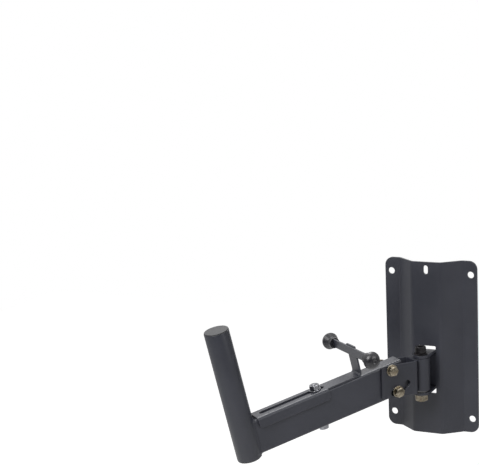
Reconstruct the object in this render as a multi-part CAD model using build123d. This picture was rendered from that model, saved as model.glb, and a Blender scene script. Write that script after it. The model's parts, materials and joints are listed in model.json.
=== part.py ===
from build123d import *
from math import cos, radians, tan
import os

# Speaker wall bracket, in millimetres and degrees. The origin is the centre of the four wall holes,
# on the wall. +X runs right along the wall, +Y into the wall and +Z up. The arm is built swung to the left
# and tilted down, and its joints turn it from there.

# Pose
swivel_angle = 39.6
tilt_angle = 12.5
tilt_lowest = 45

# Wall plate: a sheet pressed to a hat, its middle standing off the wall
plate_width = 140
plate_height = 258
plate_sheet = 3
plate_raise = 22
plate_corner = 12
plate_bend = 7
middle_half_width = 21
flange_width = 23
wall_hole = 10
wall_hole_inset = 9.5
wall_hole_drop = 20.5
top_slot_width = 7
top_slot_height = 13
top_slot_drop = 11.5

# Hinge bracket: a strip folded to a U behind the plate, its two ears put through slots
ear_width = 25
ear_thick = 4
ear_upper_top = -1.3
ear_fold = 1.5
hinge_standoff = 28.4
ear_slot_margin = 0.7
ear_slot_height = 12.6
ear_slot_corner = 1.5
upper_slot_shift = 1
lower_slot_shift = 3

# Yoke: one sheet folded to a U, its two cheeks for the arm and its web welded to the swivel tube
yoke_sheet = 3
yoke_short = 1.6
yoke_top_gap = 0.6
yoke_bottom_gap = 2.4
yoke_corner = 4
yoke_bend = 5
tube_diameter = 26
tube_wall = 3
tube_weld_leg = 2
tube_weld_spread = 30
bush_gap = 0.3
pivot_out = 57
pivot_drop = 7.1
cheek_past_pivot = 16.2
lock_rise = 7.2
lock_lag = 4

# Arm: a rectangular tube, with a round pole welded to its end
arm_width = 24
arm_height = 49.6
arm_wall = 2
arm_above_pivot = 8.4
arm_behind_pivot = 19
arm_mitre = 10
arm_edge = 3
pole_out = 234.5
pole_diameter = 35
pole_wall = 2
pole_top = 145.5
pole_below_arm = 2.4
pole_relief_low = 2.6
pole_relief_height = 1.4
pole_relief_depth = 0.3
pole_edge = 0.5
cap_flange = 1.6
cap_edge = 0.96
cap_inset = 0.4
cap_depth = 14
cap_wall = 2

# Brace: a folded strap that slides along the arm, with a crossbar and two bumpers
brace_sheet = 2.5
channel_length = 112.5
channel_pole_gap = 3.5
channel_depth = 15.6
channel_bend = 1.5
channel_corner = 5
slot_inner_margin = 1
slot_outer_margin = 9
strip_length = 53.5
post_width = 23
post_past_bar = 1.2
post_fold = 3
bar_height = 12.8
bar_thick = 2.5
bar_middle = 46
bar_half_length = 60
bumper_grip = 13
bumper_length = 22.5
bumper_diameter = 24.5
bumper_collar_diameter = 15.6
bumper_collar_length = 6
bumper_flare = 7
bumper_dome = 9.4
bumper_lip = 0.5
bumper_dimple = 7.5
bumper_dimple_depth = 1.4
clamp_in_slot = 13.5

# Fasteners
swivel_thread = 10
swivel_head_diameter = 16
swivel_head_height = 10
swivel_head_edge = 1
swivel_socket = 8
swivel_socket_depth = 5
swivel_nut_across = 17
swivel_nut_height = 8.4
swivel_washer_diameter = 20
thread = 8
head_across = 13
head_height = 5.3
nut_height = 6.8
washer_diameter = 17
washer_thick = 1.6
washer_edge = 0.24
hex_flat = 0.96
hex_slope = 30
thread_end = 2.6
clamp_end = 1.2
thread_chamfer = 0.8
clearance = 0.3
thread_gap = 0.06
side_gap = 0.4
weld_gap = 0.1

# How far a cut runs past the faces it goes through
past = 1

# Sizes that follow from those above
slope_foot = plate_width / 2 - flange_width
middle_front = plate_raise + plate_sheet
hinge_forward = middle_front + hinge_standoff
yoke_height = arm_height - yoke_short
ear_gap = yoke_height + yoke_top_gap + yoke_bottom_gap
ear_upper_under = ear_upper_top - ear_thick
ear_lower_top = ear_upper_under - ear_gap
ear_lower_under = ear_lower_top - ear_thick
yoke_inside = arm_width / 2 + side_gap
yoke_half = yoke_inside + yoke_sheet
yoke_top = ear_upper_under - yoke_top_gap
yoke_bottom = yoke_top - yoke_height
yoke_reach = pivot_out + cheek_past_pivot
pivot_up = yoke_top - pivot_drop
swivel_bore = swivel_thread / 2 + clearance
bolt_hole = thread / 2 + clearance
tube_radius = tube_diameter / 2
arm_top = arm_above_pivot
arm_bottom = arm_above_pivot - arm_height
lock_radius = -arm_bottom - lock_rise
pole_radius = pole_diameter / 2
pole_bottom = arm_bottom - pole_below_arm
strap_top = arm_top + brace_sheet
channel_inside = arm_width / 2 + clearance
channel_end = pole_out - pole_radius - channel_pole_gap
channel_start = channel_end - channel_length
strap_slot_start = channel_start + slot_inner_margin
strap_slot_end = channel_end - slot_outer_margin
clamp_out = strap_slot_start + clamp_in_slot
post_out = channel_start - strip_length
post_top = bar_middle + bar_height / 2 + post_past_bar
bumper_start = bar_half_length - bumper_grip
bumper_end = bumper_start + bumper_length

# The pieces are drawn on these three sets of axes: the wall, the yoke and the arm. On the last two, X runs
# out along the arm, Y to the right of the arm and Z up.
yoke_place = Pos(0, -hinge_forward, 0) * Rot(0, 0, -90 - swivel_angle)
arm_place = yoke_place * Pos(pivot_out, 0, pivot_up) * Rot(0, tilt_angle, 0)
lock_place = Rot(0, lock_lag, 0) * Pos(0, 0, -lock_radius)


def prism(sketch, plane, start, end):
    """A sketch drawn on a plane through the origin, swept along the plane's normal from start to end."""
    return extrude(plane.offset(start) * sketch, end - start, dir=plane.z_dir)


def rod(radius, start, end):
    """A round bar along Z."""
    return prism(Circle(radius), Plane.XY, start, end)


def washer(inner, outer, low, thick):
    """A flat ring with its lower face at low."""
    return chamfer(rod(outer, low, low + thick).edges(), washer_edge) - rod(inner, low, low + thick)


def hexagon(across, low, high, top_cut, bottom_cut):
    """A hexagonal block along Z, its corners turned off to a shallow cone at the ends that are cut."""
    apothem = across / 2
    corner = apothem / cos(radians(30))
    face = apothem * hex_flat
    drop = (corner - face) * tan(radians(hex_slope))
    outline = [(0, low)]
    outline += [(face, low), (corner, low + drop)] if bottom_cut else [(corner, low)]
    outline += [(corner, high - drop), (face, high)] if top_cut else [(corner, high)]
    outline += [(0, high)]
    turned = revolve(Plane.XZ * make_face(Polyline(*outline, close=True)), Axis.Z)
    block = prism(RegularPolygon(apothem, 6, major_radius=False), Plane.XY, low, high)
    return block & turned


def hex_bolt(seat, end):
    """A hexagon bolt along Z. The head stands on seat and the thread runs down to end."""
    head = hexagon(head_across, seat, seat + head_height, True, False)
    shank = rod(thread / 2, end, seat)
    return head + chamfer(shank.edges().sort_by(Axis.Z)[0], thread_chamfer)


def hex_nut(across, bore, low, high):
    """A hexagon nut along Z."""
    return hexagon(across, low, high, True, True) - rod(bore, low, high)


def cross_bolt(side_face, location):
    """A bolt through the yoke along Y: the bolt, two washers and a nut, with the head on the right."""
    outer = side_face + washer_thick
    end = -outer - nut_height - thread_end
    pieces = [
        hex_bolt(outer, end),
        washer(bolt_hole, washer_diameter / 2, side_face, washer_thick),
        washer(bolt_hole, washer_diameter / 2, -outer, washer_thick),
        hex_nut(head_across, thread / 2 + thread_gap, -outer - nut_height, -outer),
    ]
    return [location * Rot(-90, 0, 0) * piece for piece in pieces]


def folded(line, thick, side):
    """A strip of sheet: the fold line of one face, thickened to one side."""
    return make_face(offset(line, thick, side=side).edges())


# Wall plate
hat = FilletPolyline(
    (-plate_width / 2, 0),
    (-slope_foot, 0),
    (-middle_half_width, -plate_raise),
    (middle_half_width, -plate_raise),
    (slope_foot, 0),
    (plate_width / 2, 0),
    radius=plate_bend,
)
plate_section = folded(hat, plate_sheet, Side.RIGHT)
wall_plate = prism(plate_section, Plane.XY, -plate_height / 2, plate_height / 2)
plate_outline = RectangleRounded(plate_width, plate_height, plate_corner)
wall_plate &= prism(plate_outline, Plane.XZ, -past, middle_front + past)
hole_across = plate_width - 2 * wall_hole_inset
hole_up = plate_height - 2 * wall_hole_drop
wall_holes = GridLocations(hole_across, hole_up, 2, 2) * Circle(wall_hole / 2)
top_slot_place = Pos(0, plate_height / 2 - top_slot_drop)
top_slot = top_slot_place * SlotOverall(top_slot_height, top_slot_width, 90)
ear_slot = RectangleRounded(ear_width + 2 * ear_slot_margin, ear_slot_height, ear_slot_corner)
upper_slot = Pos(0, ear_upper_top - ear_thick / 2 + upper_slot_shift) * ear_slot
lower_slot = Pos(0, ear_lower_top - ear_thick / 2 - lower_slot_shift) * ear_slot
for cut in wall_holes + [top_slot, upper_slot, lower_slot]:
    wall_plate -= prism(cut, Plane.XZ, -past, middle_front + past)

# Hinge bracket
web_back = -plate_raise + ear_thick
ear_end = -hinge_forward - ear_width / 2
strip = FilletPolyline(
    (ear_end, ear_upper_under),
    (-plate_raise, ear_upper_under),
    (-plate_raise, ear_lower_top),
    (ear_end, ear_lower_top),
    radius=ear_fold,
)
strip_section = folded(strip, ear_thick, Side.LEFT)
hinge_bracket = prism(strip_section, Plane.YZ, -ear_width / 2, ear_width / 2)
hinge_place = Pos(0, -hinge_forward, 0)
ear_plan = hinge_place * Circle(ear_width / 2)
ear_length = web_back + hinge_forward
ear_plan += Pos(0, (web_back - hinge_forward) / 2) * Rectangle(ear_width, ear_length)
hinge_bracket &= prism(ear_plan, Plane.XY, ear_lower_under - past, ear_upper_top + past)
hinge_bracket -= hinge_place * rod(swivel_bore, ear_lower_under - past, ear_upper_top + past)

# Swivel bolt, its washers and its nut
head_seat = ear_upper_top + washer_thick
head_top = head_seat + swivel_head_height
nut_top = ear_lower_under - washer_thick
nut_bottom = nut_top - swivel_nut_height
swivel_head = rod(swivel_head_diameter / 2, head_seat, head_top)
swivel_head = fillet(swivel_head.edges().sort_by(Axis.Z)[-1], swivel_head_edge)
socket = RegularPolygon(swivel_socket / 2, 6, major_radius=False)
swivel_head -= prism(socket, Plane.XY, head_top - swivel_socket_depth, head_top)
swivel_shank = rod(swivel_thread / 2, nut_bottom - thread_end, head_seat)
swivel_shank = chamfer(swivel_shank.edges().sort_by(Axis.Z)[0], thread_chamfer)
swivel_bolt = hinge_place * (swivel_head + swivel_shank)
swivel_ring = washer(swivel_bore, swivel_washer_diameter / 2, 0, washer_thick)
swivel_washer_upper = hinge_place * Pos(0, 0, ear_upper_top) * swivel_ring
swivel_washer_lower = hinge_place * Pos(0, 0, nut_top) * swivel_ring
nut_bore = swivel_thread / 2 + thread_gap
swivel_nut = hinge_place * hex_nut(swivel_nut_across, nut_bore, nut_bottom, nut_top)

# Yoke. Seen from above it is a U, and the back of its web lies against the swivel tube.
yoke_line = FilletPolyline(
    (yoke_reach, yoke_half),
    (tube_radius, yoke_half),
    (tube_radius, -yoke_half),
    (yoke_reach, -yoke_half),
    radius=yoke_bend,
)
yoke = prism(folded(yoke_line, yoke_sheet, Side.LEFT), Plane.XY, yoke_bottom, yoke_top)
outer_edges = yoke.edges().filter_by(Axis.Y).group_by(Axis.X)[-1]
yoke = fillet(outer_edges, yoke_corner)
pivot_hole = Pos(pivot_out, pivot_up) * Circle(bolt_hole)
lock_start = -90 - lock_lag - tilt_lowest
lock_arc = CenterArc((pivot_out, pivot_up), lock_radius, lock_start, tilt_lowest)
lock_slot = SlotArc(lock_arc, 2 * bolt_hole)
for cut in (pivot_hole, lock_slot):
    yoke -= prism(cut, Plane.XZ, -yoke_half - past, yoke_half + past)
yoke = yoke_place * yoke

# Swivel tube. A weld on both sides fills the corners between the tube and the web.
bead_back = tube_radius - tube_weld_leg
bead_half = bead_back * tan(radians(tube_weld_spread))
bead_toe = bead_half + tube_weld_leg
bead = Polyline(
    (tube_radius, bead_toe),
    (bead_back, bead_half),
    (bead_back, -bead_half),
    (tube_radius, -bead_toe),
    close=True,
)
swivel_tube = rod(tube_radius, yoke_bottom, yoke_top)
swivel_tube += prism(make_face(bead), Plane.XY, yoke_bottom, yoke_top)
swivel_tube -= rod(tube_radius - tube_wall, yoke_bottom, yoke_top)
swivel_tube = yoke_place * swivel_tube

# Bush that the swivel bolt runs in, pressed into the tube
bush_top = ear_upper_under - bush_gap
bush_bottom = ear_lower_top + bush_gap
swivel_bush = rod(tube_radius - tube_wall, bush_bottom, bush_top)
swivel_bush -= rod(swivel_bore, bush_bottom, bush_top)
swivel_bush = yoke_place * swivel_bush

# Bolts through the yoke: the one that the arm turns on, and below it the one that locks the tilt
pivot_set = cross_bolt(yoke_half, yoke_place * Pos(pivot_out, 0, pivot_up))
tilt_pivot_bolt, tilt_pivot_washer_right, tilt_pivot_washer_left, tilt_pivot_nut = pivot_set
lock_set = cross_bolt(yoke_half, arm_place * lock_place)
tilt_lock_bolt, tilt_lock_washer_right, tilt_lock_washer_left, tilt_lock_nut = lock_set

# Arm tube, its inner end mitred to swing past the web of the yoke and its outer end coped to the pole
arm_middle = (arm_top + arm_bottom) / 2
arm_bore_width = arm_width - 2 * arm_wall
arm_bore_height = arm_height - 2 * arm_wall
arm_section = RectangleRounded(arm_width, arm_height, arm_edge)
arm_section -= RectangleRounded(arm_bore_width, arm_bore_height, arm_edge - arm_wall)
arm_tube = prism(Pos(0, arm_middle) * arm_section, Plane.YZ, -arm_behind_pivot, pole_out)
mitre = Polyline(
    (-arm_behind_pivot, arm_bottom + arm_mitre),
    (-arm_behind_pivot + arm_mitre, arm_bottom),
    (-arm_behind_pivot, arm_bottom),
    close=True,
)
arm_tube -= prism(make_face(mitre), Plane.XZ, -arm_width, arm_width)
pole_place = Pos(pole_out, 0, 0)
arm_tube -= pole_place * rod(pole_radius + weld_gap, arm_bottom - past, arm_top + past)
cross_hole = prism(Circle(bolt_hole), Plane.XZ, -arm_width, arm_width)
arm_tube -= cross_hole
arm_tube -= lock_place * cross_hole
arm_tube -= Pos(clamp_out, 0, 0) * rod(bolt_hole, arm_bottom - past, arm_top + past)
arm_tube = arm_place * arm_tube

# Pole, with a shallow relief turned above the weld, and the plugs that close its ends
pole_tube = rod(pole_radius, pole_bottom, pole_top)
pole_tube = fillet(pole_tube.edges(), pole_edge)
relief_low = arm_top + pole_relief_low
relief_high = relief_low + pole_relief_height
relief = rod(pole_radius + past, relief_low, relief_high)
pole_tube -= relief - rod(pole_radius - pole_relief_depth, relief_low, relief_high)
pole_tube -= rod(pole_radius - pole_wall, pole_bottom, pole_top)
pole_tube = arm_place * pole_place * pole_tube


# A moulded plug with its flange on the tube's end at Z = 0 and a hollow stem going down
stem_radius = pole_radius - pole_wall - thread_gap
plug_flange = rod(pole_radius - cap_inset, 0, cap_flange)
plug_flange = fillet(plug_flange.edges().sort_by(Axis.Z)[-1], cap_edge)
plug_stem = rod(stem_radius, -cap_depth, 0) - rod(stem_radius - cap_wall, -cap_depth, -cap_wall)
end_plug = plug_flange + plug_stem
pole_top_cap = arm_place * Pos(pole_out, 0, pole_top) * end_plug
pole_bottom_plug = arm_place * Pos(pole_out, 0, pole_bottom) * Rot(180, 0, 0) * end_plug

# Brace strap: a channel over the arm that narrows to a strip and turns up into a post
channel_line = FilletPolyline(
    (-channel_inside, strap_top - channel_depth),
    (-channel_inside, arm_top),
    (channel_inside, arm_top),
    (channel_inside, strap_top - channel_depth),
    radius=channel_bend,
)
channel_section = folded(channel_line, brace_sheet, Side.LEFT)
channel = prism(channel_section, Plane.YZ, channel_start, channel_end)
end_edges = channel.edges().filter_by(Axis.Y).group_by(Axis.Z)[0]
channel = fillet(end_edges, channel_corner)
post_line = FilletPolyline(
    (channel_start, strap_top),
    (post_out, strap_top),
    (post_out, post_top),
    radius=post_fold,
)
post_section = folded(post_line, brace_sheet, Side.LEFT)
brace_strap = channel + prism(post_section, Plane.XZ, -post_width / 2, post_width / 2)
slot_length = strap_slot_end - strap_slot_start
slot_middle = (strap_slot_end + strap_slot_start) / 2
strap_slot = Pos(slot_middle, 0) * SlotOverall(slot_length, 2 * bolt_hole)
brace_strap -= prism(strap_slot, Plane.XY, arm_top - past, strap_top + past)
brace_strap = arm_place * brace_strap

# Crossbar on the outward face of the post
bar_outline = Pos(0, bar_middle) * Rectangle(2 * bar_half_length, bar_height)
brace_crossbar = arm_place * prism(bar_outline, Plane.YZ, post_out, post_out + bar_thick)

# Rubber bumpers pushed over the ends of the crossbar
collar_end = bumper_start + bumper_collar_length
bumper_radius = bumper_diameter / 2
collar_radius = bumper_collar_diameter / 2
bumper_line = Polyline(
    (0, bumper_start),
    (collar_radius, bumper_start),
    (collar_radius, collar_end),
    (bumper_radius, collar_end + bumper_flare),
    (bumper_radius, bumper_end),
    (0, bumper_end),
    close=True,
)
bumper_face = make_face(bumper_line)
dome_corner = bumper_face.vertices().group_by(Axis.Y)[-1].sort_by(Axis.X)[-1]
bumper_face = fillet(dome_corner, bumper_dome)
collar_rows = bumper_face.vertices().group_by(Axis.Y)[:2]
collar_corners = [row.sort_by(Axis.X)[-1] for row in collar_rows]
bumper_face = fillet(collar_corners, bumper_lip)
bumper = revolve(bumper_face, Axis.Y)
along_bar = Plane((0, 0, 0), x_dir=(1, 0, 0), z_dir=(0, 1, 0))
bumper -= prism(Rectangle(bar_thick, bar_height), along_bar, bumper_start, bar_half_length)
dimple_radius = (bumper_dimple**2 / 4 + bumper_dimple_depth**2) / (2 * bumper_dimple_depth)
bumper -= Pos(0, bumper_end + dimple_radius - bumper_dimple_depth, 0) * Sphere(dimple_radius)
bumper_place = arm_place * Pos(post_out + bar_thick / 2, 0, bar_middle)
bumper_right = bumper_place * bumper
bumper_left = bumper_place * Rot(0, 0, 180) * bumper

# Clamp bolt that holds the brace: its head is under the arm and its nut on the strap
clamp_place = arm_place * Pos(clamp_out, 0, 0)
nut_low = strap_top + washer_thick
under_head = arm_bottom - washer_thick
clamp_length = nut_low + nut_height + clamp_end - under_head
under_place = clamp_place * Pos(0, 0, under_head) * Rot(180, 0, 0)
brace_clamp_bolt = under_place * hex_bolt(0, -clamp_length)
clamp_ring = washer(bolt_hole, washer_diameter / 2, 0, washer_thick)
brace_clamp_washer_upper = clamp_place * Pos(0, 0, strap_top) * clamp_ring
brace_clamp_washer_lower = clamp_place * Pos(0, 0, under_head) * clamp_ring
clamp_bore = thread / 2 + thread_gap
brace_clamp_nut = clamp_place * hex_nut(head_across, clamp_bore, nut_low, nut_low + nut_height)

pieces = {
    "wall_plate": wall_plate,
    "hinge_bracket": hinge_bracket,
    "swivel_bolt": swivel_bolt,
    "swivel_washer_upper": swivel_washer_upper,
    "swivel_washer_lower": swivel_washer_lower,
    "swivel_nut": swivel_nut,
    "yoke": yoke,
    "swivel_tube": swivel_tube,
    "swivel_bush": swivel_bush,
    "tilt_pivot_bolt": tilt_pivot_bolt,
    "tilt_pivot_washer_right": tilt_pivot_washer_right,
    "tilt_pivot_washer_left": tilt_pivot_washer_left,
    "tilt_pivot_nut": tilt_pivot_nut,
    "arm_tube": arm_tube,
    "pole_tube": pole_tube,
    "pole_top_cap": pole_top_cap,
    "pole_bottom_plug": pole_bottom_plug,
    "tilt_lock_bolt": tilt_lock_bolt,
    "tilt_lock_washer_right": tilt_lock_washer_right,
    "tilt_lock_washer_left": tilt_lock_washer_left,
    "tilt_lock_nut": tilt_lock_nut,
    "brace_strap": brace_strap,
    "brace_crossbar": brace_crossbar,
    "bumper_right": bumper_right,
    "bumper_left": bumper_left,
    "brace_clamp_bolt": brace_clamp_bolt,
    "brace_clamp_washer_upper": brace_clamp_washer_upper,
    "brace_clamp_washer_lower": brace_clamp_washer_lower,
    "brace_clamp_nut": brace_clamp_nut,
}
os.makedirs("parts", exist_ok=True)
for name, shape in pieces.items():
    export_step(shape, f"parts/{name}.step")
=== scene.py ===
import json
import math

import bpy
import numpy as np
from mathutils import Matrix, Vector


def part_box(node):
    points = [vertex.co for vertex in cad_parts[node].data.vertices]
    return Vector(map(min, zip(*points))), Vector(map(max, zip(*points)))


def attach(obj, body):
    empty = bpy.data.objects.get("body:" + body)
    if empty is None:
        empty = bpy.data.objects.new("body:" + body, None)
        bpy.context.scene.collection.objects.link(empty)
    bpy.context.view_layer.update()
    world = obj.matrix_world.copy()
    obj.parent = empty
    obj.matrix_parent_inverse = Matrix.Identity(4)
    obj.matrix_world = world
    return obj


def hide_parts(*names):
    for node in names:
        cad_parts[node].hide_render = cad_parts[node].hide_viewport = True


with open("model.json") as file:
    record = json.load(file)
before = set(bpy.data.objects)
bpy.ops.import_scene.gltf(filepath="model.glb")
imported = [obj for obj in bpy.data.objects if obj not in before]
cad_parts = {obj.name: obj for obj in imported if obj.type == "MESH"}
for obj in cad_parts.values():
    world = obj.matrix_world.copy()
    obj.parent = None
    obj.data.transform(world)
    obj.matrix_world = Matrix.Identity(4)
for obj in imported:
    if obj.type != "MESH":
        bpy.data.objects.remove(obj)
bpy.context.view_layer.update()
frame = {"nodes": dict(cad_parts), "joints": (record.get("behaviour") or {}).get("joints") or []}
nodes = frame["nodes"]


# Wall plate
# One sheet of 3 mm steel pressed to a hat, so that its middle stands off the wall. The corner holes take
# the wall screws. It is powder coated satin black, which leaves a fine orange peel and soft edges.

def put(tree, kind, inputs=None, **settings):
    """A new node: settings go on the node itself, and inputs are plain values or the outputs to link."""
    node = tree.nodes.new(kind)
    for name, value in settings.items():
        setattr(node, name, value)
    for name, value in (inputs or {}).items():
        if isinstance(value, bpy.types.NodeSocket):
            tree.links.new(value, node.inputs[name])
        else:
            node.inputs[name].default_value = value
    return node


def spread(tree, value, low, high, to_low=0.0, to_high=1.0):
    """A value stretched in a line, so that low goes to to_low and high to to_high, and held at those ends."""
    limits = {"Value": value, "From Min": low, "From Max": high, "To Min": to_low, "To Max": to_high}
    return put(tree, "ShaderNodeMapRange", limits).outputs["Result"]


def colour_between(tree, factor, first, second):
    """The colour that goes from first to second as factor goes from 0 to 1."""
    mix = put(tree, "ShaderNodeMix", {0: factor}, data_type="RGBA")
    for socket, colour in ((mix.inputs[6], first), (mix.inputs[7], second)):
        if isinstance(colour, bpy.types.NodeSocket):
            tree.links.new(colour, socket)
        else:
            socket.default_value = (*colour, 1.0)
    return mix.outputs[2]


def new_group(name, inputs, outputs):
    """An empty shader group: its inputs are numbers, and outputs gives each output's kind of socket."""
    tree = bpy.data.node_groups.new(name, "ShaderNodeTree")
    for label in inputs:
        tree.interface.new_socket(label, in_out="INPUT", socket_type="NodeSocketFloat")
    for label, kind in outputs.items():
        tree.interface.new_socket(label, in_out="OUTPUT", socket_type=kind)
    return tree, put(tree, "NodeGroupInput").outputs, put(tree, "NodeGroupOutput").inputs


def rounded_edge_group():
    """A normal that runs softly over an edge of the given radius, and a mask of where it leaves the face."""
    kinds = {"Normal": "NodeSocketVector", "Edge": "NodeSocketFloat"}
    tree, given, result = new_group("Rounded edge", ["Radius"], kinds)
    soft = put(tree, "ShaderNodeBevel", {"Radius": given["Radius"]}, samples=6).outputs["Normal"]
    face = put(tree, "ShaderNodeNewGeometry").outputs["Normal"]
    agree = put(tree, "ShaderNodeVectorMath", {0: soft, 1: face}, operation="DOT_PRODUCT").outputs["Value"]
    edge_begins, edge_full = 0.995, 0.8
    tree.links.new(soft, result["Normal"])
    tree.links.new(spread(tree, agree, edge_begins, edge_full), result["Edge"])
    return tree


def surface_grain_group():
    """Noises on the piece's own coordinates: a broad mottle, and a pebbled grain with a finer tooth added."""
    kinds = {"Mottle": "NodeSocketFloat", "Height": "NodeSocketFloat"}
    tree, given, result = new_group("Surface grain", ["Mottle scale", "Grain scale", "Tooth"], kinds)
    place = put(tree, "ShaderNodeTexCoord").outputs["Object"]
    broad = {"Vector": place, "Scale": given["Mottle scale"], "Detail": 4.0}
    mottle = put(tree, "ShaderNodeTexNoise", broad).outputs["Fac"]
    pebble = {"Vector": place, "Scale": given["Grain scale"], "Detail": 2.0}
    grain = put(tree, "ShaderNodeTexNoise", pebble).outputs["Fac"]
    tooth_ratio = 3.1
    finer_scale = {0: given["Grain scale"], 1: tooth_ratio}
    finer = put(tree, "ShaderNodeMath", finer_scale, operation="MULTIPLY").outputs[0]
    tooth = put(tree, "ShaderNodeTexNoise", {"Vector": place, "Scale": finer, "Detail": 1.0}).outputs["Fac"]
    share = {0: tooth, 1: given["Tooth"], 2: grain}
    height = put(tree, "ShaderNodeMath", share, operation="MULTIPLY_ADD").outputs[0]
    tree.links.new(mottle, result["Mottle"])
    tree.links.new(height, result["Height"])
    return tree


rounded_edge = rounded_edge_group()
surface_grain = surface_grain_group()


def new_finish(name, dark, light, edge_highlight_colour, rough, edge_rough, grain, metallic=0.0, specular=0.5):
    """A finish whose colour drifts between dark and light with the mottle and turns to a lighter edge colour on
    edges, a painted highlight along the rounded edges.
    rough is the least and greatest roughness over the mottle. grain gives the mottle and grain scales per
    metre, the share of fine tooth, and the depth of the grain and the radius of the edges in metres."""
    material = bpy.data.materials.new(name)
    material.use_nodes = True
    tree = material.node_tree
    shader = tree.nodes["Principled BSDF"]
    edge = put(tree, "ShaderNodeGroup", node_tree=rounded_edge)
    edge.inputs["Radius"].default_value = grain["edge"]
    skin = put(tree, "ShaderNodeGroup", node_tree=surface_grain)
    skin.inputs["Mottle scale"].default_value = grain["mottle"]
    skin.inputs["Grain scale"].default_value = grain["scale"]
    skin.inputs["Tooth"].default_value = grain["tooth"]
    mottle_range = (0.35, 0.65)
    drift = spread(tree, skin.outputs["Mottle"], *mottle_range)
    body_colour = colour_between(tree, drift, dark, light)
    # Painted highlight: the rounded edges turn to a colour lighter than the body.
    colour = colour_between(tree, edge.outputs["Edge"], body_colour, edge_highlight_colour)
    body_rough = spread(tree, skin.outputs["Mottle"], *mottle_range, *rough)
    rough_mix = put(tree, "ShaderNodeMix", {0: edge.outputs["Edge"], 2: body_rough, 3: edge_rough})
    relief = {"Height": skin.outputs["Height"], "Normal": edge.outputs["Normal"], "Distance": grain["depth"]}
    bump = put(tree, "ShaderNodeBump", relief)
    tree.links.new(colour, shader.inputs["Base Color"])
    tree.links.new(rough_mix.outputs[0], shader.inputs["Roughness"])
    tree.links.new(bump.outputs["Normal"], shader.inputs["Normal"])
    shader.inputs["Metallic"].default_value = metallic
    shader.inputs["Specular IOR Level"].default_value = specular
    return material


def dress(material, *names):
    """Gives CAD pieces a finish in every one of their material slots."""
    for name in names:
        for slot in nodes[name].material_slots:
            slot.material = material


MM = 0.001
black_coat = new_finish(
    "black coat",
    dark=(0.0225, 0.0240, 0.0325),
    light=(0.0285, 0.0300, 0.0400),
    # lighter than the body: a painted edge highlight
    edge_highlight_colour=(0.036, 0.038, 0.048),
    rough=(0.36, 0.44),
    edge_rough=0.34,
    grain={"mottle": 14.0, "scale": 1100.0, "tooth": 0.3, "depth": 0.05 * MM, "edge": 0.6 * MM},
)
dress(black_coat, "wall_plate")


# Hinge bracket
# A 4 mm strip folded to a U. Its two ears go through the slots of the wall plate from behind, and its web is
# welded to the back of the plate down both long sides. It is coated with the plate.

def grid_piece(name, points, body, material, ring=False, sharp=35.0):
    """A closed mesh from a grid of points in metres. Columns run round a section and join up. Rows run along
    the piece, and either join up in a ring or end in flat caps. Faces are turned outwards by the sign of the
    volume, and edges over the sharp angle stay crisp."""
    rows, columns = points.shape[:2]
    index = np.arange(rows * columns).reshape(rows, columns)
    here = index if ring else index[:-1]
    ahead = np.roll(index, -1, axis=0)[: len(here)]
    quads = np.stack([here, np.roll(here, -1, 1), np.roll(ahead, -1, 1), ahead], axis=-1).reshape(-1, 4)
    flat = points.reshape(-1, 3)
    corner = flat[quads] - flat.mean(axis=0)
    volume = np.einsum("ij,ij->", corner[:, 0], np.cross(corner[:, 1], corner[:, 2]))
    volume += np.einsum("ij,ij->", corner[:, 0], np.cross(corner[:, 2], corner[:, 3]))
    caps = [] if ring else [index[0, ::-1].tolist(), index[-1].tolist()]
    faces = quads.tolist() + caps
    if volume < 0:
        faces = [face[::-1] for face in faces]
    mesh = bpy.data.meshes.new(name)
    mesh.from_pydata(flat.tolist(), [], faces)
    mesh.polygons.foreach_set("use_smooth", np.ones(len(faces), bool))
    mesh.set_sharp_from_angle(angle=math.radians(sharp))
    mesh.materials.append(material)
    piece = bpy.data.objects.new(name, mesh)
    bpy.context.scene.collection.objects.link(piece)
    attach(piece, body)
    return piece


def weld_bead(corner, first, second, leg, taper_ends):
    """A hollow fillet weld along a corner line. corner, first and second are arrays of points and of the two
    unit directions that lead from the corner along the two faces. At each point the face of the bead is the
    curve leg * ((1 - t)^flow * first + t^flow * second), which leaves both faces nearly flush. Its middle rises
    and falls in ripples that lean along the run. The root and both toes lie just under the two faces, and
    tapered ends round off like a quarter circle."""
    flow, points_across = 1.8, 13
    ripple, pitch, lean, ripple_bend = 0.09, 1.8 * MM, 0.35, 0.6
    toe_sink, root_sink, end_cut = 0.05 * MM, 0.3 * MM, 0.96
    run = np.concatenate([[0.0], np.cumsum(np.linalg.norm(np.diff(corner, axis=0), axis=1))])
    t = np.linspace(0.0, 1.0, points_across)
    crown = 4 * t * (1 - t)
    phase = (run[:, None] / pitch + lean * crown) % 1.0
    swell = 1.0 + ripple * crown * (phase**ripple_bend - 0.5)
    if taper_ends:
        ends = np.clip(np.minimum(run, run[-1] - run) / leg, 0.0, 1.0)
        swell = swell * np.sqrt(1.0 - end_cut * (1.0 - ends[:, None]) ** 2)
    ways = first[:, None] * ((1 - t) ** flow)[None, :, None] + second[:, None] * (t**flow)[None, :, None]
    inwards = -(first + second)[:, None]
    face = corner[:, None] + ways * (leg * swell)[..., None] + toe_sink * inwards
    root = corner[:, None] + root_sink * inwards
    return np.concatenate([face, root], axis=1)


def vertices(name):
    """The points of a CAD piece at rest, in metres."""
    mesh = nodes[name].data
    flat = np.empty(len(mesh.vertices) * 3, np.float32)
    mesh.vertices.foreach_get("co", flat)
    return flat.reshape(-1, 3).astype(float)


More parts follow.
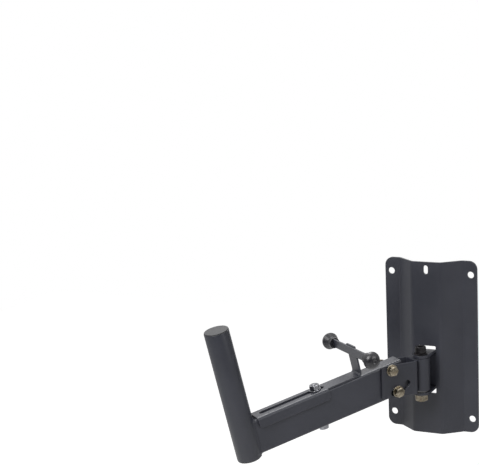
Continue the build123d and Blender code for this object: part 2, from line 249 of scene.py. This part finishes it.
dress(black_coat, "hinge_bracket")
web_low, web_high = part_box("hinge_bracket")
hinge_weld_leg, hinge_weld_inset, hinge_weld_rows = 4.0 * MM, 7.0 * MM, 160
plate_sheet = 3.0 * MM
plate_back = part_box("wall_plate")[0].y + plate_sheet
web_heights = np.linspace(web_low.z + hinge_weld_inset, web_high.z - hinge_weld_inset, hinge_weld_rows)
for name, side, web_side in (("hinge_weld_left", -1.0, web_low.x), ("hinge_weld_right", 1.0, web_high.x)):
    corner = np.tile([web_side, plate_back, 0.0], (hinge_weld_rows, 1))
    corner[:, 2] = web_heights
    along_web = np.tile([0.0, 1.0, 0.0], (hinge_weld_rows, 1))
    along_plate = np.tile([side, 0.0, 0.0], (hinge_weld_rows, 1))
    bead = weld_bead(corner, along_web, along_plate, hinge_weld_leg, taper_ends=True)
    grid_piece(name, bead, "wall", black_coat)


# Yoke, swivel tube and bush
# The yoke is a 3 mm sheet folded to a U, and its web is welded to a length of steel tube. Both are coated
# together. The bush is a turned steel sleeve that is pressed into the tube and left bare.

bare_steel = new_finish(
    "bare steel",
    dark=(0.30, 0.29, 0.28),
    light=(0.42, 0.41, 0.40),
    # lighter than the body: a painted edge highlight
    edge_highlight_colour=(0.50, 0.49, 0.48),
    rough=(0.30, 0.42),
    edge_rough=0.28,
    grain={"mottle": 60.0, "scale": 1500.0, "tooth": 0.6, "depth": 0.01 * MM, "edge": 0.3 * MM},
    metallic=1.0,
)
dress(black_coat, "yoke", "swivel_tube")
dress(bare_steel, "swivel_bush")


# Swivel bolt, washers and nut
# A socket head cap screw in blackened steel, with a knurled head. It drops through both ears and the bush,
# and a zinc plated nut with a yellow passivate closes it from below.

def hexagon(angle, across):
    """Reach of a hexagon at an angle from the middle of a flat: half the width across flats over the cosine
    of the angle from the nearest flat's middle."""
    return across / 2 / np.cos((angle + math.pi / 6) % (math.pi / 3) - math.pi / 6)


def thread_rows(angle, radius, pitch, end, length, chamfer):
    """Rows of a thread from its end upwards. The cut is a triangle wave that climbs one pitch each turn, with
    flat crests and roots. It fades over the last turn, and a 45 degree chamfer bounds it at the end."""
    rows_per_turn, flats, depth_share = 8, 0.35, 0.6134
    height = np.arange(0.0, length, pitch / rows_per_turn)[:, None]
    wave = np.abs(2 * ((height / pitch - angle / (2 * math.pi)) % 1.0) - 1.0)
    fade = np.clip((length - height) / pitch, 0.0, 1.0)
    cut = np.clip(wave * (1 + flats) - flats / 2, 0.0, 1.0) * fade
    depth = depth_share * pitch
    reach = np.minimum(radius - depth * cut, radius - chamfer + height)
    return reach, np.broadcast_to(end + height, reach.shape)


def stack_rows(*rows):
    """Rows of (reach, height) pairs, each a number or an array over the angles, as two grids."""
    parts = [np.broadcast_arrays(*(np.atleast_2d(part) for part in row)) for row in rows]
    columns = max(reach.shape[1] for reach, _ in parts)
    grids = [[np.broadcast_to(part, (part.shape[0], columns)) for part in pair] for pair in parts]
    return np.concatenate([pair[0] for pair in grids]), np.concatenate([pair[1] for pair in grids])


def turned(angle, reach, height, origin, axis, flat_way):
    """Points of a turned piece: reach from the axis and height along it, with angle 0 towards flat_way."""
    axis, flat_way = np.asarray(axis, float), np.asarray(flat_way, float)
    flat_way = flat_way - axis * (flat_way @ axis)
    flat_way = flat_way / np.linalg.norm(flat_way)
    across_way = np.cross(axis, flat_way)
    out = np.cos(angle)[..., None] * flat_way + np.sin(angle)[..., None] * across_way
    return origin + reach[..., None] * out + height[..., None] * axis


def span(name, axis):
    """The lowest and highest reach of a CAD piece along a direction."""
    reach = vertices(name) @ np.asarray(axis, float)
    return reach.min(), reach.max()


black_steel = new_finish(
    "black steel",
    dark=(0.013, 0.012, 0.0135),
    light=(0.021, 0.019, 0.021),
    # lighter than the body: a painted edge highlight
    edge_highlight_colour=(0.07, 0.066, 0.07),
    rough=(0.32, 0.42),
    edge_rough=0.28,
    grain={"mottle": 90.0, "scale": 1800.0, "tooth": 0.5, "depth": 0.008 * MM, "edge": 0.3 * MM},
    metallic=0.6,
)
yellow_zinc = new_finish(
    "yellow zinc",
    dark=(0.18, 0.150, 0.108),
    light=(0.33, 0.298, 0.232),
    # lighter than the body: a painted edge highlight
    edge_highlight_colour=(0.52, 0.485, 0.40),
    rough=(0.26, 0.40),
    edge_rough=0.24,
    grain={"mottle": 240.0, "scale": 1600.0, "tooth": 0.5, "depth": 0.01 * MM, "edge": 0.3 * MM},
    metallic=1.0,
)
dress(black_steel, "swivel_washer_upper")
dress(yellow_zinc, "swivel_washer_lower", "swivel_nut")

hinge_axis = np.array(frame["joints"][0]["pos_m"], float) * [1, 1, 0]
swivel_low, swivel_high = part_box("swivel_bolt")
swivel_radius, swivel_pitch, swivel_thread, swivel_chamfer = 5.0 * MM, 1.5 * MM, 26.0 * MM, 0.8 * MM
cap_radius, cap_height, cap_edge, cap_foot = 8.0 * MM, 10.0 * MM, 1.0 * MM, 0.4 * MM
socket_across, socket_depth, socket_lip = 8.0 * MM, 5.0 * MM, 0.25 * MM
knurl_count, knurl_depth, knurl_gap = 48, 0.16 * MM, 0.7 * MM
cap_columns, cap_edge_rows = 288, 6
round_angle = np.linspace(0.0, 2 * math.pi, cap_columns, endpoint=False)
seat, top = swivel_high.z - cap_height, swivel_high.z
knurl = knurl_depth * np.abs(np.sin(round_angle * knurl_count / 2))
knurled = cap_radius - knurl_depth + knurl
edge_turn = np.linspace(0.0, math.pi / 2, cap_edge_rows)[:, None]
socket_reach = hexagon(round_angle, socket_across)
# Rows go up the thread and the shank, out under the head, up its knurl, over its rounded edge and down the
# socket.
swivel_rows = stack_rows(
    thread_rows(round_angle[None], swivel_radius, swivel_pitch, swivel_low.z, swivel_thread, swivel_chamfer),
    (swivel_radius, swivel_low.z + swivel_thread),
    (swivel_radius, seat),
    (cap_radius - cap_foot, seat),
    (cap_radius - knurl_depth, seat + cap_foot),
    (knurled, seat + knurl_gap),
    (knurled, top - cap_edge - knurl_gap),
    (cap_radius - knurl_depth / 2, top - cap_edge - knurl_gap / 2),
    (cap_radius - cap_edge * (1 - np.cos(edge_turn)), top - cap_edge * (1 - np.sin(edge_turn))),
    (socket_reach + socket_lip, top),
    (socket_reach, top - socket_lip),
    (socket_reach, top - socket_depth),
)
swivel_screw = grid_piece(
    "swivel_cap_screw",
    turned(round_angle, *swivel_rows, hinge_axis, (0, 0, 1), (0, -1, 0)),
    "wall",
    black_steel,
)
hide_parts("swivel_bolt")


# Arm, pole and plugs
# The arm is a rectangular steel tube, coped at its outer end and welded all round to the upright pole. Both
# are coated as one. Moulded plugs close the two ends of the pole.

out_way = -np.array(frame["joints"][2]["axis"], float)
side_way = np.array(frame["joints"][1]["axis"], float)
up_way = np.cross(out_way, side_way)
arm_axes = np.stack([out_way, side_way, up_way])
black_plastic = new_finish(
    "black plastic",
    dark=(0.014, 0.014, 0.016),
    light=(0.019, 0.019, 0.022),
    # lighter than the body: a painted edge highlight
    edge_highlight_colour=(0.03, 0.03, 0.034),
    rough=(0.48, 0.58),
    edge_rough=0.42,
    grain={"mottle": 70.0, "scale": 2200.0, "tooth": 0.5, "depth": 0.03 * MM, "edge": 0.4 * MM},
)
dress(black_coat, "arm_tube")
dress(black_plastic, "pole_top_cap", "pole_bottom_plug")


def rounded_rectangle(low, high, corner, count):
    """Evenly spaced points round a rectangle with round corners, and the outward direction at each. The ring
    is the four corner arcs, drawn finely and joined by straight sides, and is then divided by its length."""
    fine_steps = 16384
    middle, half = (low + high) / 2, (high - low) / 2 - corner
    turn = np.linspace(0.0, 2 * math.pi, fine_steps, endpoint=False)
    way = np.stack([np.cos(turn), np.sin(turn)], axis=1)
    ring = middle + half * np.sign(way) + corner * way
    ring = np.concatenate([ring, ring[:1]])
    way = np.concatenate([way, way[:1]])
    run = np.concatenate([[0.0], np.cumsum(np.linalg.norm(np.diff(ring, axis=0), axis=1))])
    even = np.linspace(0.0, run[-1], count, endpoint=False)
    points = np.stack([np.interp(even, run, ring[:, k]) for k in (0, 1)], axis=1)
    ways = np.stack([np.interp(even, run, way[:, k]) for k in (0, 1)], axis=1)
    return points, ways / np.linalg.norm(ways, axis=1, keepdims=True)


pole_side = np.array(span("pole_tube", side_way))
pole_out = np.mean(span("pole_tube", out_way))
pole_radius = (pole_side[1] - pole_side[0]) / 2
pole_wall, pole_edge = 2.0 * MM, 0.5 * MM
pole_columns, pole_edge_rows = 128, 5
pole_low, pole_high = span("pole_tube", up_way)
pole_angle = np.linspace(0.0, 2 * math.pi, pole_columns, endpoint=False)
pole_bore = pole_radius - pole_wall
corner_turn = np.linspace(0.0, math.pi / 2, pole_edge_rows)[:, None]
edge_in, edge_down = pole_edge * (1 - np.cos(corner_turn)), pole_edge * (1 - np.sin(corner_turn))
# Rows go from the bore round the lower edge, up the outside, round the upper edge and back to the bore.
pole_rows = stack_rows(
    (np.full(pole_columns, pole_bore), pole_low),
    (pole_radius - edge_in[::-1], pole_low + edge_down[::-1]),
    (pole_radius - edge_in, pole_high - edge_down),
    (pole_bore, pole_high),
)
pole_foot = pole_out * out_way + pole_side.mean() * side_way
pole_points = turned(pole_angle, *pole_rows, pole_foot, up_way, out_way)
pole = grid_piece("pole", pole_points, "arm", black_coat, ring=True)
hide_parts("pole_tube")

# The weld follows the arm's section round the pole. Its toe on the pole bends with the round of the pole.
arm_corner, pole_weld_leg, pole_weld_rows = 3.0 * MM, 4.0 * MM, 520
arm_low, arm_high = np.array([span("arm_tube", side_way), span("arm_tube", up_way)]).T
ring_points, ring_ways = rounded_rectangle(arm_low, arm_high, arm_corner, pole_weld_rows)
off_axis = ring_points[:, 0] - pole_side.mean()
chord = np.sqrt(pole_radius**2 - off_axis**2)
pole_corner = np.stack([pole_out - chord, ring_points[:, 0], ring_points[:, 1]], axis=1)
along_arm = np.tile([-1.0, 0.0, 0.0], (len(chord), 1))
along_pole = np.stack([ring_ways[:, 0] * off_axis / chord, ring_ways[:, 0], ring_ways[:, 1]], axis=1)
along_pole /= np.linalg.norm(along_pole, axis=1, keepdims=True)
away_from_pole = np.stack([-chord, off_axis, np.zeros(len(chord))], axis=1) / pole_radius
round_share = 1.0 - along_pole[:, 2:] ** 2
along_pole -= away_from_pole * round_share * pole_weld_leg / (2 * pole_radius)
pole_weld = weld_bead(pole_corner, along_arm, along_pole, pole_weld_leg, taper_ends=False)
grid_piece("pole_weld", pole_weld @ arm_axes, "arm", black_coat, ring=True)


# Tilt bolts
# Two hexagon bolts, zinc plated with a yellow passivate, go through the cheeks of the yoke, each with a
# washer under its head and its nut. The arm turns on the upper one, and the lower one runs in the arc slots
# and locks the tilt.

def hex_bolt(name, replaced, body, axis, flat_way, material):
    """A hexagon bolt in the place of a CAD one, with its head towards axis. The corners of the head are
    turned off to a 30 degree cone, and the far end of the shank has a rolled thread."""
    radius, pitch, thread, chamfer = 4.0 * MM, 1.25 * MM, 14.0 * MM, 0.8 * MM
    across, head, face_share, columns = 13.0 * MM, 5.3 * MM, 0.96, 96
    axis = np.asarray(axis, float)
    low, high = span(replaced, axis)
    points = vertices(replaced)
    flat_way = flat_way - axis * (flat_way @ axis)
    flat_way = flat_way / np.linalg.norm(flat_way)
    level_ways = np.stack([flat_way, np.cross(axis, flat_way)])
    reach = points @ level_ways.T
    middle = (reach.min(axis=0) + reach.max(axis=0)) / 2 @ level_ways
    angle = np.linspace(0.0, 2 * math.pi, columns, endpoint=False)
    side, face = hexagon(angle, across), across / 2 * face_share
    fall = (side - face) * math.tan(math.radians(30))
    rows = stack_rows(
        thread_rows(angle[None], radius, pitch, low, thread, chamfer),
        (radius, low + thread),
        (radius, high - head),
        (side, high - head),
        (side, high - fall),
        (np.full(columns, face), high),
    )
    bolt = grid_piece(name, turned(angle, *rows, middle, axis, flat_way), body, material)
    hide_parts(replaced)


dress(yellow_zinc, "tilt_pivot_washer_right", "tilt_pivot_washer_left", "tilt_pivot_nut")
dress(yellow_zinc, "tilt_lock_washer_right", "tilt_lock_washer_left", "tilt_lock_nut")
pivot_flat = np.array([0.0, 0.0, 1.0])
lock_lag = math.radians(4.0)
lock_flat = math.cos(lock_lag) * up_way + math.sin(lock_lag) * out_way
hex_bolt("tilt_pivot_hex_bolt", "tilt_pivot_bolt", "yoke", side_way, pivot_flat, yellow_zinc)
hex_bolt("tilt_lock_hex_bolt", "tilt_lock_bolt", "arm", side_way, lock_flat, yellow_zinc)


# Brace
# A 2.5 mm strap folded to a channel over the arm, with a long slot, that turns up into a post. A flat
# crossbar is welded to the post, and a moulded rubber bumper is pushed over each of its ends.

black_rubber = new_finish(
    "black rubber",
    dark=(0.010, 0.010, 0.0125),
    light=(0.016, 0.016, 0.0195),
    # lighter than the body: a painted edge highlight
    edge_highlight_colour=(0.018, 0.018, 0.021),
    rough=(0.30, 0.38),
    edge_rough=0.34,
    grain={"mottle": 80.0, "scale": 1500.0, "tooth": 0.4, "depth": 0.04 * MM, "edge": 0.4 * MM},
    specular=0.55,
)
dress(black_coat, "brace_strap", "brace_crossbar")
dress(black_rubber, "bumper_right", "bumper_left")
bar_back = span("brace_crossbar", out_way)[0]
bar_rise = span("brace_crossbar", up_way)
post_half = 11.5 * MM
post_middle = np.mean(span("brace_crossbar", side_way))
bar_weld_leg, bar_weld_inset, bar_weld_rows = 3.0 * MM, 0.6 * MM, 72
bar_heights = np.linspace(bar_rise[0] + bar_weld_inset, bar_rise[1] - bar_weld_inset, bar_weld_rows)
for name, side in (("crossbar_weld_left", -1.0), ("crossbar_weld_right", 1.0)):
    corner = np.tile([bar_back, post_middle + side * post_half, 0.0], (bar_weld_rows, 1))
    corner[:, 2] = bar_heights
    along_post = np.tile([-1.0, 0.0, 0.0], (bar_weld_rows, 1))
    along_bar = np.tile([0.0, side, 0.0], (bar_weld_rows, 1))
    bead = weld_bead(corner, along_post, along_bar, bar_weld_leg, taper_ends=True)
    grid_piece(name, bead @ arm_axes, "brace", black_coat)


# Brace clamp bolt
# A hexagon bolt comes up through the arm and the slot of the strap, and its nut and washer bear on the strap
# and hold it wherever it is slid to. The bolt, the nut and both washers are steel with bright zinc plating.

bright_zinc = new_finish(
    "bright zinc",
    dark=(0.20, 0.203, 0.22),
    light=(0.30, 0.303, 0.32),
    # lighter than the body: a painted edge highlight
    edge_highlight_colour=(0.54, 0.543, 0.56),
    rough=(0.11, 0.17),
    edge_rough=0.2,
    grain={"mottle": 240.0, "scale": 1600.0, "tooth": 0.5, "depth": 0.01 * MM, "edge": 0.3 * MM},
    metallic=1.0,
)
dress(bright_zinc, "brace_clamp_nut", "brace_clamp_washer_upper", "brace_clamp_washer_lower")
hex_bolt("brace_clamp_hex_bolt", "brace_clamp_bolt", "arm", -up_way, side_way, bright_zinc)


# Studio
# A pale floor well below the bracket, a white backdrop and three broad soft lamps. The camera stands to the
# right of the bracket and a little above it.

floor_half, floor_height, floor_colour, floor_rough = 2.2, -0.55, 0.8, 0.9
floor_material = bpy.data.materials.new("pale floor")
floor_material.use_nodes = True
floor_tree = floor_material.node_tree
floor_shader = floor_tree.nodes["Principled BSDF"]
floor_shader.inputs["Base Color"].default_value = (floor_colour, floor_colour, floor_colour, 1.0)
floor_shader.inputs["Roughness"].default_value = floor_rough
floor_shader.inputs["Specular IOR Level"].default_value = 0.0


def seen_directly(tree, path):
    """1 for a ray that comes from the camera, straight or through a clear piece, and otherwise 0."""
    kinds = {0: path["Is Camera Ray"], 1: path["Is Transmission Ray"]}
    return put(tree, "ShaderNodeMath", kinds, operation="MAXIMUM").outputs[0]


# The lamps' light on the floor falls off as 1 / (1 + square of distance over light_reach). The glow makes it
# up to white where the camera sees it, and a mirror sees a little of it.
light_middle, light_reach, white_level, mirrored_glow = 0.978, 1.167, 1.03, 0.3
floor_path = put(floor_tree, "ShaderNodeLightPath").outputs
floor_place = put(floor_tree, "ShaderNodeTexCoord").outputs["Object"]
in_reaches = {0: floor_place, 1: (1 / light_reach,) * 3}
floor_reach = put(floor_tree, "ShaderNodeVectorMath", in_reaches, operation="MULTIPLY").outputs["Vector"]
squared = {0: floor_reach, 1: floor_reach}
far_square = put(floor_tree, "ShaderNodeVectorMath", squared, operation="DOT_PRODUCT").outputs["Value"]
far_share = put(floor_tree, "ShaderNodeMath", {0: far_square, 1: 1.0}, operation="ADD").outputs[0]
floor_lit = put(floor_tree, "ShaderNodeMath", {0: light_middle, 1: far_share}, operation="DIVIDE").outputs[0]
short_of_white = {0: white_level, 1: floor_lit}
floor_lack = put(floor_tree, "ShaderNodeMath", short_of_white, operation="SUBTRACT").outputs[0]
floor_mirrored = spread(floor_tree, floor_path["Is Glossy Ray"], 0.0, 1.0, 0.0, mirrored_glow)
lift_terms = {0: seen_directly(floor_tree, floor_path), 1: floor_lack, 2: floor_mirrored}
floor_lift = put(floor_tree, "ShaderNodeMath", lift_terms, operation="MULTIPLY_ADD").outputs[0]
floor_glow = put(floor_tree, "ShaderNodeEmission", {"Strength": floor_lift})
floor_sum = put(floor_tree, "ShaderNodeAddShader", {0: floor_shader.outputs[0], 1: floor_glow.outputs[0]})
floor_tree.links.new(floor_sum.outputs[0], floor_tree.nodes["Material Output"].inputs["Surface"])
floor_square = ((-1, -1), (1, -1), (1, 1), (-1, 1))
floor_corners = [(x * floor_half, y * floor_half, floor_height) for x, y in floor_square]
floor_mesh = bpy.data.meshes.new("floor")
floor_mesh.from_pydata(floor_corners, [], [(0, 1, 2, 3)])
floor_mesh.materials.append(floor_material)
floor = bpy.data.objects.new("floor", floor_mesh)
bpy.context.scene.collection.objects.link(floor)

# The camera sees plain white. Metal mirrors a backdrop that is white up behind the bracket and dark in front
# of it, and only a little even light comes from the surroundings.
world = bpy.data.worlds.new("white studio")
bpy.context.scene.world = world
world.use_nodes = True
sky = world.node_tree
backdrop_way = (-0.30, 0.50, 0.81)
backdrop_ends = (-0.4, 0.6)
mirror_levels, even_levels = (0.02, 1.0), (0.02, 0.06)
direction = put(sky, "ShaderNodeTexCoord").outputs["Generated"]
lean = {0: direction, 1: backdrop_way}
towards = put(sky, "ShaderNodeVectorMath", lean, operation="DOT_PRODUCT").outputs["Value"]
path = put(sky, "ShaderNodeLightPath").outputs
mirrored = spread(sky, towards, *backdrop_ends, *mirror_levels)
even = spread(sky, towards, *backdrop_ends, *even_levels)
room_level = put(sky, "ShaderNodeMix", {0: path["Is Glossy Ray"], 2: even, 3: mirrored}).outputs[0]
level = put(sky, "ShaderNodeMix", {0: seen_directly(sky, path), 2: room_level, 3: 1.0}).outputs[0]
backdrop = sky.nodes["Background"]
backdrop.inputs["Color"].default_value = (1.0, 1.0, 1.0, 1.0)
sky.links.new(level, backdrop.inputs["Strength"])


def facing(place, right, up, back):
    """The matrix of a lamp or camera at a place, from its three unit directions. It looks away from back."""
    return Matrix.Translation(place) @ Matrix(np.stack([right, up, back], axis=1).tolist()).to_4x4()


def soft_lamp(name, place, target, size, power):
    """A square area lamp that faces a target."""
    lamp = bpy.data.lights.new(name, "AREA")
    lamp.size, lamp.energy = size, power
    lamp_object = bpy.data.objects.new(name, lamp)
    back = np.subtract(place, target)
    back /= np.linalg.norm(back)
    right = np.cross((0.0, 0.0, 1.0), back)
    right /= np.linalg.norm(right)
    lamp_object.matrix_world = facing(place, right, np.cross(back, right), back)
    bpy.context.scene.collection.objects.link(lamp_object)


lamp_target, lamp_size = (-0.1, -0.18, 0.0), 0.8
soft_lamp("front lamp", (-0.3, -1.4, 1.0), lamp_target, lamp_size, 26.0)
soft_lamp("side lamp", (1.3, -0.5, 0.6), lamp_target, lamp_size, 9.0)
soft_lamp("back lamp", (-0.6, 0.6, 1.5), lamp_target, lamp_size, 20.5)

view_azimuth, view_elevation, view_roll = (math.radians(angle) for angle in (26.93, 10.36, -2.48))
view_place = (0.64159, -1.87732, 0.53932)
focal_pixels, image_width, sensor_width = 1370.68, 479, 36.0
level_right = np.array([math.cos(view_azimuth), math.sin(view_azimuth), 0.0])
level_back = np.array([math.sin(view_azimuth), -math.cos(view_azimuth), 0.0])
view_back = level_back * math.cos(view_elevation) + np.array([0.0, 0.0, math.sin(view_elevation)])
tilted_up = np.cross(view_back, level_right)
view_right = level_right * math.cos(view_roll) + tilted_up * math.sin(view_roll)
view_up = tilted_up * math.cos(view_roll) - level_right * math.sin(view_roll)
camera_data = bpy.data.cameras.new("camera")
camera_data.sensor_width = sensor_width
camera_data.lens = sensor_width * focal_pixels / image_width
camera = bpy.data.objects.new("camera", camera_data)
camera.matrix_world = facing(view_place, view_right, view_up, view_back)
bpy.context.scene.collection.objects.link(camera)
bpy.context.scene.camera = camera
bpy.context.scene.view_settings.view_transform = "Standard"
